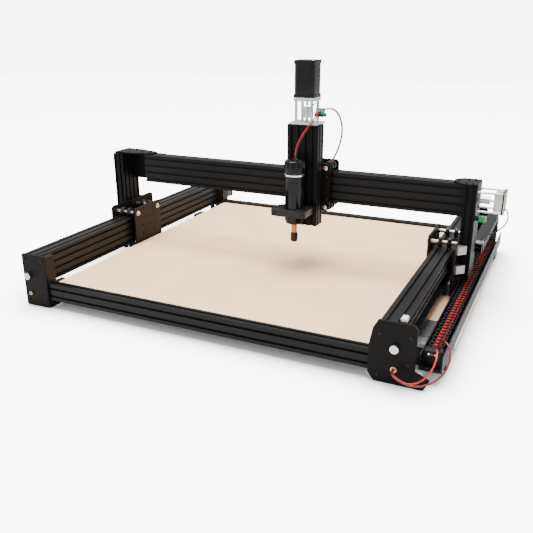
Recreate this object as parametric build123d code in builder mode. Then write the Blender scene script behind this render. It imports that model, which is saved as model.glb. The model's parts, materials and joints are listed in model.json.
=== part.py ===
import math
import os

from build123d import *

os.makedirs("parts", exist_ok=True)

# X runs along the gantry beam, Y from the front of the machine to its rear, Z up.
# The origin is the centre of the wasteboard's top face. All sizes are in millimetres.

# ---- frame ----
FLOOR = -60.0                    # the floor, below the board's top
FRONT = -492.0                   # front face of the front end plates
FRAME_LENGTH = 984.0             # over the outer faces of the end plates
PLATE = 6.0                      # end plates and carriage plates
RAIL_INNER_X = 455.0             # inner face of each Y rail
RAIL_WIDTH = 52.0
RAIL_HEIGHT = 80.0
RAIL_BASE = FLOOR + 60.0
RAIL_SLOTS = (14.0, 38.0)        # slots in a rail's top and foot, from its inner face
BEAM_DEPTH = 23.0                # front and rear cross beams
BEAM_HEIGHT = 46.0
BEAM_BASE = FLOOR + 22.0
BOARD_HALF_WIDTH = 432.0
BOARD_THICKNESS = 12.0
SLOT_WIDTH = 6.4                 # mouth of every T-slot
SLOT_DEPTH = 5.0
SLOT_PITCH = 20.0
CROSS_BASE = FLOOR + 12.0        # cross members under the bed
CROSS_TOP = FLOOR + 30.0
SCREW_RADIUS = 4.0               # lead screws
RUNNING_GAP = 0.06               # radial gap of a shaft in its bore

# ---- gantry at rest ----
GANTRY_FRONT = FRONT + 470.0     # front faces of the uprights
UPRIGHT_INNER_X = 524.0
UPRIGHT_WIDTH = 32.0
UPRIGHT_DEPTH = 80.0
UPRIGHT_BASE = FLOOR + 78.0
GANTRY_TOP = FLOOR + 322.0
XBEAM_FRONT = FRONT + 487.0
XBEAM_DEPTH = 40.0
XBEAM_HEIGHT = 84.0
XBEAM_SLOT_PITCH = 21.0
XBEAM_LEFT = -450.0
XBEAM_RIGHT = 524.0
CARRIAGE_GAP = 11.0              # from a carriage plate to the profile between two plates
WHEEL_SHOULDER = 12.5            # radius of a wheel beside the slot
WHEEL_RIM = 14.0                 # radius of its rim inside the slot
WHEEL_WIDTH = 10.0
WHEEL_CLEAR = 0.3
AXLE_RADIUS = 2.5
AXLE_PITCH = 104.0
Y_AXLES = {"left": FRONT + 418.0, "right": FRONT + 522.0}     # front axle of each side
OUTER_PLATES = {"left": (FRONT + 398.0, FRONT + 612.0), "right": (FRONT + 428.0, FRONT + 642.0)}

# ---- X carriage and Z axis at rest ----
CARRIAGE_X = 105.0
X_AXLE_PITCH = 100.0
ZBEAM_WIDTH = 88.0
ZBEAM_DEPTH = 40.0
ZBEAM_BASE = FLOOR + 181.0
ZBEAM_TOP = FLOOR + 453.0
SPINDLE_X = 99.0
SPINDLE_RADIUS = 26.0
SPINDLE_LOW = FLOOR + 197.0
MOTOR_SIZE = 57.0

# ---- cable chain beside the right rail ----
TRAY_LOW_X = 533.0
TRAY_HIGH_X = 581.0
TRAY_WALL = 3.0
TRAY_TOP = FLOOR + 66.0
CHAIN_X = 557.0
CHAIN_WIDTH = 32.0
CHAIN_HEIGHT = 24.0
CHAIN_LOW = FLOOR + 46.0
CHAIN_FRONT = FRONT + 66.0
CHAIN_BEND_Y = FRONT + 885.0     # centre of the bend at rest
CHAIN_BEND_RADIUS = 38.0         # to the middle of the chain
CHAIN_ANCHOR_Y = FRONT + 566.0
CHAIN_HIGH = CHAIN_LOW + 2 * CHAIN_BEND_RADIUS

# ---- derived places ----
FRAME_BACK = FRONT + FRAME_LENGTH
RAIL_LENGTH = FRAME_LENGTH - 2 * PLATE
RAIL_TOP = RAIL_BASE + RAIL_HEIGHT
RAIL_OUTER_X = RAIL_INNER_X + RAIL_WIDTH
XBEAM_BASE = GANTRY_TOP - XBEAM_HEIGHT
XBEAM_BACK = XBEAM_FRONT + XBEAM_DEPTH
WHEEL_RISE = WHEEL_SHOULDER + WHEEL_CLEAR
Y_AXLE_HEIGHTS = {"top": RAIL_TOP + WHEEL_RISE, "low": RAIL_BASE - WHEEL_RISE}
X_AXLE_HEIGHTS = {"top": GANTRY_TOP + WHEEL_RISE, "low": XBEAM_BASE - WHEEL_RISE}
INNER_PLATE_X = RAIL_INNER_X - CARRIAGE_GAP - PLATE
OUTER_PLATE_X = RAIL_OUTER_X + CARRIAGE_GAP
Y_SCREW_X = RAIL_INNER_X + 34.0
Y_SCREW_Z = FLOOR + 84.0
X_SCREW_Y = XBEAM_FRONT + 26.0
X_SCREW_Z = XBEAM_BASE + XBEAM_HEIGHT / 2
X_PLATE_FRONT = XBEAM_FRONT - CARRIAGE_GAP - PLATE
X_PLATE_BACK = XBEAM_BACK + CARRIAGE_GAP
ZBEAM_BACK = X_PLATE_FRONT - 3.0
ZBEAM_FRONT = ZBEAM_BACK - ZBEAM_DEPTH
Z_SCREW_Y = ZBEAM_FRONT + 28.0
SPINDLE_Y = ZBEAM_FRONT - 10.0 - SPINDLE_RADIUS
SIDES = {"left": -1, "right": 1}


def save(piece, name):
    """Label a finished piece and write it to its own file."""
    piece.label = name
    export_step(piece, f"parts/{name}.step")


def plane_y(x, y, z):
    """A sketch plane with local x along X and local y along Z; -amount extrudes to +Y."""
    return Plane(origin=(x, y, z), x_dir=(1, 0, 0), z_dir=(0, -1, 0))


def plane_x(x, y, z):
    """A sketch plane with local x along Y and local y along Z; amount extrudes to +X."""
    return Plane(origin=(x, y, z), x_dir=(0, 1, 0), z_dir=(1, 0, 0))


def block(low, high):
    """Add a box between two corners to the current part."""
    size = [b - a for a, b in zip(low, high)]
    with Locations(tuple((a + b) / 2 for a, b in zip(low, high))):
        Box(*size)


def rod(start, end, radius, mode=Mode.ADD):
    """A round bar from start to end, added to or cut from the current part."""
    start, end = Vector(*start), Vector(*end)
    with BuildSketch(Plane(origin=start, z_dir=(end - start).normalized())) as section:
        Circle(radius)
    extrude(section.sketch, amount=(end - start).length, mode=mode)


def ring(start, end, outer, inner):
    """A round tube from start to end, added to the current part."""
    start, end = Vector(*start), Vector(*end)
    with BuildSketch(Plane(origin=start, z_dir=(end - start).normalized())) as section:
        Circle(outer)
        Circle(inner, mode=Mode.SUBTRACT)
    extrude(section.sketch, amount=(end - start).length)


def profile(width, height, slots, channel=None):
    """An extrusion's section from (0, 0), with T-slots and an optional open channel.

    slots lists (side, place): low and high are the edges along x, near and far along y.
    channel is (x0, y0, x1, y1).
    """
    with BuildSketch(mode=Mode.PRIVATE) as section:
        with Locations((width / 2, height / 2)):
            Rectangle(width, height)
        for side, place in slots:
            flat = side in ("low", "high")
            edge = {"low": 0.0, "near": 0.0, "high": height, "far": width}[side]
            inward = 1 if side in ("low", "near") else -1
            for depth, breadth in ((SLOT_DEPTH / 2, SLOT_WIDTH), (SLOT_DEPTH - 1.5, SLOT_WIDTH + 2.6)):
                across = edge + inward * depth
                tall = SLOT_DEPTH if breadth == SLOT_WIDTH else 3.0
                with Locations((place, across) if flat else (across, place)):
                    Rectangle(*((breadth, tall) if flat else (tall, breadth)), mode=Mode.SUBTRACT)
        if channel:
            x0, y0, x1, y1 = channel
            with Locations(((x0 + x1) / 2, (y0 + y1) / 2)):
                Rectangle(x1 - x0, y1 - y0, mode=Mode.SUBTRACT)
    return section.sketch


def tube(points, radius):
    """A round tube along straight runs joined by tangent arcs, added to the current part."""
    corners = [Vector(*point) for point in points]
    radii = []
    for before, here, after in zip(corners, corners[1:], corners[2:]):
        turn = (here - before).get_angle(after - here)
        shorter = min((here - before).length, (after - here).length)
        radii.append(0.45 * shorter / math.tan(math.radians(turn / 2)))
    print("bend radii", [round(value, 1) for value in radii])
    with BuildLine() as route:
        FilletPolyline(*points, radius=radii)
    with BuildSketch(Plane(origin=corners[0], z_dir=(corners[1] - corners[0]).normalized())) as section:
        Circle(radius)
    sweep(section.sketch, path=route.line)


def wheel_pair(name, start, direction, places):
    """Two slotted-rail wheels on one axle; places are their centres from start."""
    with BuildPart() as wheels:
        for place in places:
            centre = Vector(*start) + Vector(*direction) * place
            for radius, width in ((WHEEL_SHOULDER, WHEEL_WIDTH), (WHEEL_RIM, SLOT_WIDTH - 0.9)):
                half = Vector(*direction) * (width / 2)
                rod(centre - half, centre + half, radius)
            reach = Vector(*direction) * WHEEL_WIDTH
            rod(centre - reach, centre + reach, AXLE_RADIUS + RUNNING_GAP, mode=Mode.SUBTRACT)
    save(wheels.part, name)


# ======================= frame =======================

# Y rails: the channel in the outer face holds the lead screw
for side, sign in SIDES.items():
    slots = [(face, place) for face in ("low", "high") for place in RAIL_SLOTS]
    slots += [("near", 10 + SLOT_PITCH * step) for step in range(4)]
    slots += [("far", 55.0), ("far", 72.0)]
    section = profile(RAIL_WIDTH, RAIL_HEIGHT, slots, (20.0, 10.0, RAIL_WIDTH, 42.0))
    if sign < 0:
        section = mirror(section, about=Plane.YZ)
    with BuildPart() as rail:
        with BuildSketch(plane_y(sign * RAIL_INNER_X, FRONT + PLATE, RAIL_BASE)):
            add(section)
        extrude(amount=-RAIL_LENGTH)
    save(rail.part, f"y_rail_{side}")

# front and rear beams close the frame between the rails
for name, y in (("front_beam", FRONT + PLATE), ("rear_beam", FRAME_BACK - PLATE - BEAM_DEPTH)):
    middle = BEAM_DEPTH / 2
    slots = [("low", middle), ("high", middle)]
    slots += [(face, height) for face in ("near", "far") for height in (12.0, 33.0)]
    with BuildPart() as beam:
        with BuildSketch(plane_x(-RAIL_INNER_X, y, BEAM_BASE)):
            add(profile(BEAM_DEPTH, BEAM_HEIGHT, slots))
        extrude(amount=2 * RAIL_INNER_X)
    save(beam.part, name)


# left end plates: plain tall rectangles
with BuildPart() as left_end_plates:
    for y in (FRONT, FRAME_BACK - PLATE):
        with BuildSketch(plane_y(-470.0, y, FLOOR + 71.5)):
            RectangleRounded(76.0, 143.0, 4.0)
            with Locations((-Y_SCREW_X + 470.0, Y_SCREW_Z - FLOOR - 71.5)):
                Circle(SCREW_RADIUS + RUNNING_GAP, mode=Mode.SUBTRACT)
            with Locations((-18.0, -36.5)):
                Circle(4.0, mode=Mode.SUBTRACT)
        extrude(amount=-PLATE)
save(left_end_plates.part, "left_end_plates")

# right end plates: wings reach in to the cross beam and out under the cable tray
RIGHT_PLATE_OUTLINE = [
    (448, 0), (551, 0), (562, 18), (562, 24), (532, 38), (532, 131), (526, 140), (451, 140),
    (441, 122), (434, 84), (434, 18),
]


with BuildPart() as right_end_plates:
    for y in (FRONT, FRAME_BACK - PLATE):
        with BuildSketch(plane_y(0, y, FLOOR)):
            with BuildLine():
                Polyline(*RIGHT_PLATE_OUTLINE, close=True)
            make_face()
            with Locations((Y_SCREW_X, Y_SCREW_Z - FLOOR)):
                Circle(SCREW_RADIUS + RUNNING_GAP, mode=Mode.SUBTRACT)
            with Locations((Y_SCREW_X, 35.0)):
                Circle(4.0, mode=Mode.SUBTRACT)
        extrude(amount=-PLATE)
save(right_end_plates.part, "right_end_plates")

# blocks behind the left end plates: one beside the rail, one below the cross beam
with BuildPart() as corner_blocks:
    for near, far, foot_near, foot_far in (
        (FRONT + PLATE, FRONT + 36, FRONT + PLATE, FRONT + 76),
        (FRAME_BACK - 36, FRAME_BACK - PLATE, FRAME_BACK - 76, FRAME_BACK - PLATE),
    ):
        block((-RAIL_INNER_X, near, BEAM_BASE + BEAM_HEIGHT), (-BOARD_HALF_WIDTH, far, FLOOR + 138))
        block((-RAIL_INNER_X, foot_near, FLOOR), (-BOARD_HALF_WIDTH, foot_far, CROSS_BASE))
        block((-RAIL_INNER_X, foot_near, CROSS_BASE), (-BOARD_HALF_WIDTH, foot_near + 23, BEAM_BASE))
save(corner_blocks.part, "corner_blocks")

# bed: two cross members below, three bearers along the machine on top of them
BEARER_NEAR = FRONT + PLATE + BEAM_DEPTH
BEARER_FAR = FRAME_BACK - PLATE - BEAM_DEPTH
with BuildPart() as cross_members:
    for y in (FRONT + 82, FRAME_BACK - 132):
        block((-RAIL_OUTER_X, y, CROSS_BASE), (TRAY_HIGH_X, y + 50, CROSS_TOP))
save(cross_members.part, "cross_members")

with BuildPart() as bed_bearers:
    for x in (-380.0, 0.0, 380.0):
        block((x - 20, BEARER_NEAR, CROSS_TOP), (x + 20, BEARER_FAR, -BOARD_THICKNESS))
save(bed_bearers.part, "bed_bearers")

with BuildPart() as wasteboard:
    block((-BOARD_HALF_WIDTH, BEARER_NEAR, -BOARD_THICKNESS), (BOARD_HALF_WIDTH, BEARER_FAR, 0))
save(wasteboard.part, "wasteboard")

# pale tie bars and a fibreboard strip between them, under the gap beside the right rail
TIES = ((FRONT + 184, FRONT + 284), (FRONT + 451, FRONT + 534))
with BuildPart() as side_ties:
    for near, far in TIES:
        block((360.0, near, CROSS_BASE), (TRAY_HIGH_X, far, CROSS_TOP))
save(side_ties.part, "side_ties")

with BuildPart() as side_shelf:
    block((360.0, TIES[0][1], CROSS_BASE + 6), (TRAY_HIGH_X, TIES[1][0], CROSS_TOP))
save(side_shelf.part, "side_shelf")

# cable tray: an open channel along the outside of the right rail
with BuildPart() as cable_tray:
    wide = TRAY_HIGH_X - TRAY_LOW_X
    tall = TRAY_TOP - CROSS_TOP
    with BuildSketch(plane_y((TRAY_LOW_X + TRAY_HIGH_X) / 2, FRONT + 30, CROSS_TOP + tall / 2)):
        Rectangle(wide, tall)
        with Locations((0, TRAY_WALL)):
            Rectangle(wide - 2 * TRAY_WALL, tall, mode=Mode.SUBTRACT)
    extrude(amount=-(FRAME_LENGTH - 40))
save(cable_tray.part, "cable_tray")

# Y motors behind the rear plates, each on four standoffs
STANDOFF = 37.0
STANDOFF_PITCH = 47.0
with BuildPart() as y_motors:
    for sign in SIDES.values():
        with BuildSketch(plane_y(sign * Y_SCREW_X, FRAME_BACK + STANDOFF, Y_SCREW_Z)):
            RectangleRounded(MOTOR_SIZE, MOTOR_SIZE, 4.0)
        extrude(amount=-56.0)
        rod((sign * Y_SCREW_X, FRAME_BACK + STANDOFF, Y_SCREW_Z),
            (sign * Y_SCREW_X, FRAME_BACK + STANDOFF - 12, Y_SCREW_Z), 3.0)
save(y_motors.part, "y_motors")

with BuildPart() as y_motor_mounts:
    for sign in SIDES.values():
        for dx in (-1, 1):
            for dz in (-1, 1):
                x = sign * Y_SCREW_X + dx * STANDOFF_PITCH / 2
                z = Y_SCREW_Z + dz * STANDOFF_PITCH / 2
                rod((x, FRAME_BACK, z), (x, FRAME_BACK + STANDOFF, z), 5.0)
save(y_motor_mounts.part, "y_motor_mounts")

# button-head screws of the end plates
PLATE_SCREWS = ((456.0, 111), (520.5, 112), (518.0, 51), (455.0, 17), (541.0, 11))
with BuildPart() as frame_screws:
    for x, height in PLATE_SCREWS:
        for y, reach in ((FRONT, -2.5), (FRAME_BACK, 2.5)):
            rod((x, y, FLOOR + height), (x, y + reach, FLOOR + height), 3.6)
    for x, height in ((-499, 127), (-443, 130), (-499, 14), (-443, 14)):
        for y, reach in ((FRONT, -2.5), (FRAME_BACK, 2.5)):
            rod((x, y, FLOOR + height), (x, y + reach, FLOOR + height), 3.6)
save(frame_screws.part, "frame_screws")

# ======================= lead screws =======================
for side, sign in SIDES.items():
    x = sign * Y_SCREW_X
    with BuildPart() as y_screw:
        rod((x, FRONT - 9, Y_SCREW_Z), (x, FRAME_BACK + 8, Y_SCREW_Z), SCREW_RADIUS)
        rod((x, FRONT - 10, Y_SCREW_Z), (x, FRONT - 1, Y_SCREW_Z), 9.5)
        rod((x, FRAME_BACK + 1, Y_SCREW_Z), (x, FRAME_BACK + 24, Y_SCREW_Z), 9.5)
    save(y_screw.part, f"y_screw_{side}")

with BuildPart() as x_screw:
    rod((XBEAM_LEFT + 4, X_SCREW_Y, X_SCREW_Z), (UPRIGHT_INNER_X + UPRIGHT_WIDTH + 8, X_SCREW_Y, X_SCREW_Z),
        SCREW_RADIUS)
    rod((UPRIGHT_INNER_X + UPRIGHT_WIDTH + 4, X_SCREW_Y, X_SCREW_Z),
        (UPRIGHT_INNER_X + UPRIGHT_WIDTH + 28, X_SCREW_Y, X_SCREW_Z), 9.5)
save(x_screw.part, "x_screw")

Z_STANDOFF = 60.0
with BuildPart() as z_screw:
    rod((CARRIAGE_X, Z_SCREW_Y, ZBEAM_BASE + 10), (CARRIAGE_X, Z_SCREW_Y, ZBEAM_TOP + 20), SCREW_RADIUS)
    rod((CARRIAGE_X, Z_SCREW_Y, ZBEAM_TOP + 16), (CARRIAGE_X, Z_SCREW_Y, ZBEAM_TOP + 44), 9.0)
save(z_screw.part, "z_screw")

# ======================= gantry =======================
PLATE_LOW = Y_AXLE_HEIGHTS["low"] - 11
PLATE_HIGH = Y_AXLE_HEIGHTS["top"] + 17
for kind, x in (("inner", INNER_PLATE_X), ("outer", OUTER_PLATE_X)):
    with BuildPart() as plates:
        for side, sign in SIDES.items():
            axle_y = Y_AXLES[side]
            start = x if sign > 0 else -x - PLATE
            near, far = OUTER_PLATES[side] if kind == "outer" else (axle_y - 16, axle_y + AXLE_PITCH + 16)
            middle = ((near + far) / 2, (PLATE_LOW + PLATE_HIGH) / 2)
            with BuildSketch(plane_x(start, *middle)):
                RectangleRounded(far - near, PLATE_HIGH - PLATE_LOW, 9.0)
                for y in (axle_y, axle_y + AXLE_PITCH):
                    for z in Y_AXLE_HEIGHTS.values():
                        with Locations((y - middle[0], z - middle[1])):
                            Circle(AXLE_RADIUS, mode=Mode.SUBTRACT)
                with Locations((axle_y + AXLE_PITCH / 2 - middle[0], 6.0)):
                    with GridLocations(20.0, 24.0, 4, 3):
                        Circle(2.4, mode=Mode.SUBTRACT)
            extrude(amount=PLATE)
    save(plates.part, f"y_{kind}_plates")

for side, sign in SIDES.items():
    for level, z in Y_AXLE_HEIGHTS.items():
        for place, y in (("front", Y_AXLES[side]), ("rear", Y_AXLES[side] + AXLE_PITCH)):
            wheel_pair(f"y_wheels_{side}_{level}_{place}", (sign * RAIL_INNER_X, y, z),
                       (sign, 0, 0), RAIL_SLOTS)

# axles of the Y carriages: a bolt across both plates with its head on the inner one
with BuildPart() as y_axles:
    for side, sign in SIDES.items():
        for y in (Y_AXLES[side], Y_AXLES[side] + AXLE_PITCH):
            for z in Y_AXLE_HEIGHTS.values():
                rod((sign * (INNER_PLATE_X - 4), y, z), (sign * (OUTER_PLATE_X + PLATE), y, z), AXLE_RADIUS)
                rod((sign * (INNER_PLATE_X - 4), y, z), (sign * INNER_PLATE_X, y, z), 7.0)
save(y_axles.part, "y_axles")

half_wheel = WHEEL_WIDTH / 2 + WHEEL_CLEAR
near_wheel, far_wheel = (RAIL_INNER_X + place for place in RAIL_SLOTS)
Y_SPACERS = (
    (INNER_PLATE_X + PLATE, near_wheel - half_wheel),
    (near_wheel + half_wheel, far_wheel - half_wheel),
    (far_wheel + half_wheel, OUTER_PLATE_X),
)
with BuildPart() as y_spacers:
    for side, sign in SIDES.items():
        for y in (Y_AXLES[side], Y_AXLES[side] + AXLE_PITCH):
            for z in Y_AXLE_HEIGHTS.values():
                for start, end in Y_SPACERS:
                    ring((sign * start, y, z), (sign * end, y, z), 5.0, AXLE_RADIUS)
save(y_spacers.part, "y_spacers")

# drive nuts reach from the outer plates into the rails' channels
with BuildPart() as y_drive_nuts:
    for side, sign in SIDES.items():
        y = Y_AXLES[side] + AXLE_PITCH / 2
        ends = sorted((sign * (Y_SCREW_X - 9), sign * OUTER_PLATE_X))
        block((ends[0], y - 18, Y_SCREW_Z - 10), (ends[1], y + 18, Y_SCREW_Z + 10))
        rod((sign * Y_SCREW_X, y - 20, Y_SCREW_Z), (sign * Y_SCREW_X, y + 20, Y_SCREW_Z),
            SCREW_RADIUS + RUNNING_GAP, mode=Mode.SUBTRACT)
save(y_drive_nuts.part, "y_drive_nuts")

# uprights: the right one holds the X screw's bearing
with BuildPart() as uprights:
    slots = [(face, place) for face in ("low", "high") for place in (8.0, 24.0)]
    slots += [(face, 10 + SLOT_PITCH * step) for face in ("near", "far") for step in range(4)]
    for sign in SIDES.values():
        start = UPRIGHT_INNER_X if sign > 0 else -UPRIGHT_INNER_X - UPRIGHT_WIDTH
        with BuildSketch(Plane(origin=(start, GANTRY_FRONT, UPRIGHT_BASE))):
            add(profile(UPRIGHT_WIDTH, UPRIGHT_DEPTH, slots))
        extrude(amount=GANTRY_TOP - UPRIGHT_BASE)
    rod((UPRIGHT_INNER_X - 1, X_SCREW_Y, X_SCREW_Z),
        (UPRIGHT_INNER_X + UPRIGHT_WIDTH + 1, X_SCREW_Y, X_SCREW_Z),
        SCREW_RADIUS + RUNNING_GAP, mode=Mode.SUBTRACT)
save(uprights.part, "uprights")

# corner brackets between uprights and outer plates, and the tab that carries the chain
BRACKET = 22.0
with BuildPart() as upright_brackets:
    for height in (105.0, 157.0):
        for sign, y, toward in ((1, GANTRY_FRONT, -1), (-1, GANTRY_FRONT + UPRIGHT_DEPTH, 1)):
            with BuildSketch(Plane(origin=(0, 0, FLOOR + height - BRACKET / 2))):
                with BuildLine():
                    x = sign * UPRIGHT_INNER_X
                    Polyline((x, y), (x + sign * BRACKET, y), (x + sign * BRACKET, y + toward * 4),
                             (x + sign * 4, y + toward * BRACKET), (x, y + toward * BRACKET), close=True)
                make_face()
            extrude(amount=BRACKET)
    block((OUTER_PLATE_X + PLATE, CHAIN_ANCHOR_Y, CHAIN_HIGH + CHAIN_HEIGHT),
          (CHAIN_X + CHAIN_WIDTH / 2, CHAIN_ANCHOR_Y + 24, CHAIN_HIGH + CHAIN_HEIGHT + 3))
save(upright_brackets.part, "upright_brackets")

# X beam: the channel in its rear face holds the X screw
with BuildPart() as x_beam:
    slots = [("near", XBEAM_SLOT_PITCH * (step + 0.5)) for step in range(4)]
    slots += [(face, place) for face in ("low", "high") for place in (10.0, 30.0)]
    with BuildSketch(plane_x(XBEAM_LEFT, XBEAM_FRONT, XBEAM_BASE)):
        add(profile(XBEAM_DEPTH, XBEAM_HEIGHT, slots, (15.0, 22.0, XBEAM_DEPTH, 62.0)))
    extrude(amount=XBEAM_RIGHT - XBEAM_LEFT)
save(x_beam.part, "x_beam")

# plates that join the beam to the uprights: one on top of each corner, one behind the left
# with the X screw's far bearing on it
CORNER_TOP = 4.0
with BuildPart() as beam_corner_plates:
    outer = UPRIGHT_INNER_X + UPRIGHT_WIDTH
    back = GANTRY_FRONT + UPRIGHT_DEPTH
    for points in (
        ((-outer, GANTRY_FRONT + 8), (-500, GANTRY_FRONT + 8), (-428, XBEAM_FRONT + 12), (-428, XBEAM_BACK),
         (-500, back), (-outer, back)),
        ((outer, GANTRY_FRONT + 2), (520, GANTRY_FRONT + 2), (492, XBEAM_FRONT + 12), (492, XBEAM_BACK),
         (512, back - 6), (outer, back - 6)),
    ):
        with BuildSketch(Plane.XY.offset(GANTRY_TOP)):
            with BuildLine():
                Polyline(*points, close=True)
            make_face()
        extrude(amount=CORNER_TOP)
    block((-UPRIGHT_INNER_X, XBEAM_BACK, XBEAM_BASE), (-400.0, XBEAM_BACK + 6, GANTRY_TOP))
    block((-444.0, XBEAM_FRONT + 16, X_SCREW_Z - 12), (-430.0, XBEAM_BACK, X_SCREW_Z + 12))
    rod((-446.0, X_SCREW_Y, X_SCREW_Z), (-428.0, X_SCREW_Y, X_SCREW_Z), SCREW_RADIUS + RUNNING_GAP,
        mode=Mode.SUBTRACT)
save(beam_corner_plates.part, "beam_corner_plates")

# X motor outside the right upright, held between four long posts by its end plate
X_MOTOR_START = UPRIGHT_INNER_X + UPRIGHT_WIDTH + 39.0
X_MOTOR_SIZE = 44.0
X_POST_PITCH = 49.0
with BuildPart() as x_motor:
    with BuildSketch(plane_x(X_MOTOR_START, X_SCREW_Y, X_SCREW_Z)):
        RectangleRounded(X_MOTOR_SIZE, X_MOTOR_SIZE, 2.0)
    extrude(amount=19.0)
    with BuildSketch(plane_x(X_MOTOR_START + 19.0, X_SCREW_Y, X_SCREW_Z)):
        RectangleRounded(56.0, 56.0, 4.0)
    extrude(amount=7.0)
    rod((X_MOTOR_START, X_SCREW_Y, X_SCREW_Z), (X_MOTOR_START - 10, X_SCREW_Y, X_SCREW_Z), 3.0)
save(x_motor.part, "x_motor")

with BuildPart() as x_motor_mount:
    for dy in (-1, 1):
        for dz in (-1, 1):
            y = X_SCREW_Y + dy * X_POST_PITCH / 2
            z = X_SCREW_Z + dz * X_POST_PITCH / 2
            rod((UPRIGHT_INNER_X + UPRIGHT_WIDTH, y, z), (X_MOTOR_START + 19.0, y, z), 2.9)
save(x_motor_mount.part, "x_motor_mount")

# ======================= X carriage =======================
CARRIAGE_HALF = X_AXLE_PITCH / 2 + 14
plate_low = X_AXLE_HEIGHTS["low"] - 9
plate_high = X_AXLE_HEIGHTS["top"] + 12
for name, y in (("x_front_plate", X_PLATE_FRONT), ("x_back_plate", X_PLATE_BACK)):
    with BuildPart() as plate:
        with BuildSketch(plane_y(CARRIAGE_X, y, (plate_low + plate_high) / 2)):
            RectangleRounded(2 * CARRIAGE_HALF, plate_high - plate_low, 11.0)
            for x in (-X_AXLE_PITCH / 2, X_AXLE_PITCH / 2):
                for z in X_AXLE_HEIGHTS.values():
                    with Locations((x, z - (plate_low + plate_high) / 2)):
                        Circle(AXLE_RADIUS, mode=Mode.SUBTRACT)
            with GridLocations(X_AXLE_PITCH, 62.0, 2, 2):
                Circle(2.4, mode=Mode.SUBTRACT)
        extrude(amount=-PLATE)
    save(plate.part, name)

X_AXLES = {"left": CARRIAGE_X - X_AXLE_PITCH / 2, "right": CARRIAGE_X + X_AXLE_PITCH / 2}
X_WHEELS = (10.0, 30.0)
with BuildPart() as x_axles:
    for x in X_AXLES.values():
        for z in X_AXLE_HEIGHTS.values():
            rod((x, X_PLATE_FRONT - 2.6, z), (x, X_PLATE_BACK + PLATE + 4, z), AXLE_RADIUS)
            rod((x, X_PLATE_FRONT - 2.6, z), (x, X_PLATE_FRONT, z), 7.0)
            rod((x, X_PLATE_BACK + PLATE, z), (x, X_PLATE_BACK + PLATE + 4, z), 6.0)
            near_wheel, far_wheel = (XBEAM_FRONT + place for place in X_WHEELS)
            for start, end in (
                (X_PLATE_FRONT + PLATE, near_wheel - half_wheel),
                (near_wheel + half_wheel, far_wheel - half_wheel),
                (far_wheel + half_wheel, X_PLATE_BACK),
            ):
                rod((x, start, z), (x, end, z), 5.0)
save(x_axles.part, "x_axles")

for side, x in X_AXLES.items():
    for level, z in X_AXLE_HEIGHTS.items():
        wheel_pair(f"x_wheels_{level}_{side}", (x, XBEAM_FRONT, z), (0, 1, 0), X_WHEELS)

# the X nut in the beam's channel, and the block that guides the Z beam and holds its nut
GUIDE_HALF = 19.6
with BuildPart() as carriage_blocks:
    block((CARRIAGE_X - 20, XBEAM_FRONT + 17, X_SCREW_Z - 10),
          (CARRIAGE_X + 20, X_PLATE_BACK, X_SCREW_Z + 10))
    rod((CARRIAGE_X - 21, X_SCREW_Y, X_SCREW_Z), (CARRIAGE_X + 21, X_SCREW_Y, X_SCREW_Z),
        SCREW_RADIUS + RUNNING_GAP, mode=Mode.SUBTRACT)
    block((CARRIAGE_X - GUIDE_HALF, ZBEAM_FRONT + 16, FLOOR + 245),
          (CARRIAGE_X + GUIDE_HALF, X_PLATE_FRONT, FLOOR + 325))
    rod((CARRIAGE_X, Z_SCREW_Y, FLOOR + 244), (CARRIAGE_X, Z_SCREW_Y, FLOOR + 326),
        SCREW_RADIUS + RUNNING_GAP, mode=Mode.SUBTRACT)
save(carriage_blocks.part, "carriage_blocks")

# ======================= Z axis =======================
with BuildPart() as z_beam:
    slots = [("low", 14 + SLOT_PITCH * step) for step in range(4)]
    slots += [(face, place) for face in ("near", "far") for place in (10.0, 30.0)]
    middle = ZBEAM_WIDTH / 2
    with BuildSketch(Plane(origin=(CARRIAGE_X - middle, ZBEAM_FRONT, ZBEAM_BASE))):
        add(profile(ZBEAM_WIDTH, ZBEAM_DEPTH, slots, (middle - 20.0, 15.0, middle + 20.0, ZBEAM_DEPTH)))
    extrude(amount=ZBEAM_TOP - ZBEAM_BASE)
save(z_beam.part, "z_beam")

FLANGE = 9.0
MOTOR_BASE = ZBEAM_TOP + Z_STANDOFF + FLANGE
with BuildPart() as z_motor:
    with BuildSketch(Plane(origin=(CARRIAGE_X, Z_SCREW_Y, MOTOR_BASE))):
        RectangleRounded(MOTOR_SIZE, MOTOR_SIZE, 4.0)
    extrude(amount=93.0)
    rod((CARRIAGE_X, Z_SCREW_Y, MOTOR_BASE), (CARRIAGE_X, Z_SCREW_Y, MOTOR_BASE - 22), 3.0)
save(z_motor.part, "z_motor")

# top plate with the screw's bearing bore, four standoffs and the motor's flange plate
with BuildPart() as z_motor_mount:
    block((CARRIAGE_X - 40, ZBEAM_FRONT + 2, ZBEAM_TOP), (CARRIAGE_X + 40, ZBEAM_BACK + 16, ZBEAM_TOP + 5))
    for dx in (-1, 1):
        for dy in (-1, 1):
            x = CARRIAGE_X + dx * 22.0
            y = Z_SCREW_Y + dy * 22.0
            rod((x, y, ZBEAM_TOP + 5), (x, y, ZBEAM_TOP + Z_STANDOFF), 4.0)
    with BuildSketch(Plane(origin=(CARRIAGE_X, Z_SCREW_Y, ZBEAM_TOP + Z_STANDOFF))):
        RectangleRounded(MOTOR_SIZE, MOTOR_SIZE, 4.0)
        Circle(19.0, mode=Mode.SUBTRACT)
    extrude(amount=FLANGE)
    rod((CARRIAGE_X, Z_SCREW_Y, ZBEAM_TOP - 1), (CARRIAGE_X, Z_SCREW_Y, ZBEAM_TOP + 6),
        SCREW_RADIUS + RUNNING_GAP, mode=Mode.SUBTRACT)
save(z_motor_mount.part, "z_motor_mount")

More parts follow.
